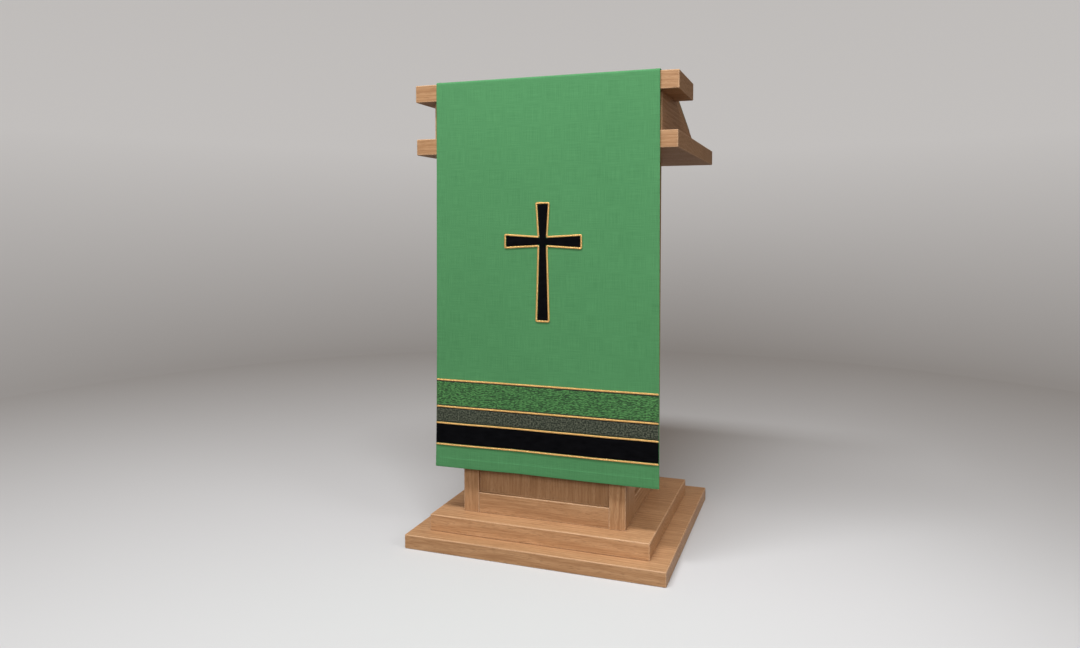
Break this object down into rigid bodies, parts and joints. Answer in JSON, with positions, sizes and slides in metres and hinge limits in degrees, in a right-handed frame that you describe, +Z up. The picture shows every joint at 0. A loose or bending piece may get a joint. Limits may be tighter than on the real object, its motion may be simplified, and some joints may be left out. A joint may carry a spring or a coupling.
{
  "type": "lectern fall on a wooden lectern",
  "caption": "Long green banded cloth with a velvet cross, hung over the top board of a stepped wooden lectern with a panelled column and a sloping reading board.",
  "frame": {"origin": "on the floor, at the middle of the whole lectern's outline", "axes": "+Z up, -Y out of the front that the cloth covers, +Y towards the reader, +X to the right of someone facing the cloth"},
  "size_m": [0.664, 0.656, 1.154],
  "materials": {
    "oak": "light oak with a satin varnish",
    "green_cloth": "plain weave with fine slubs, matt",
    "black_velvet": "short pile velvet",
    "grey_cloth": "speckled weave, dull",
    "bright_green_cloth": "crinkled brocade weave, slight sheen",
    "gold_cord": "twisted metallised yarn, satin"
  },
  "bodies": {
    "root": {"lower_step": "oak", "upper_step": "oak", "post_front_left": "oak", "post_back_left": "oak", "post_front_right": "oak", "post_back_right": "oak", "rail_low_front": "oak", "rail_top_front": "oak", "panel_front": "oak", "rail_low_right": "oak", "rail_top_right": "oak", "panel_right": "oak", "rail_low_back": "oak", "rail_top_back": "oak", "panel_back": "oak", "rail_low_left": "oak", "rail_top_left": "oak", "panel_left": "oak", "shelf": "oak", "top_board": "oak", "reading_board": "oak", "head_side_left": "oak", "head_side_right": "oak", "head_front": "oak", "fall_cloth": "green_cloth", "edging_1": "gold_cord", "band_black": "black_velvet", "edging_2": "gold_cord", "band_grey": "grey_cloth", "edging_3": "gold_cord", "band_bright_green": "bright_green_cloth", "edging_4": "gold_cord", "cross_patch": "black_velvet", "edging_cross": "gold_cord"}
  },
  "joints": []
}
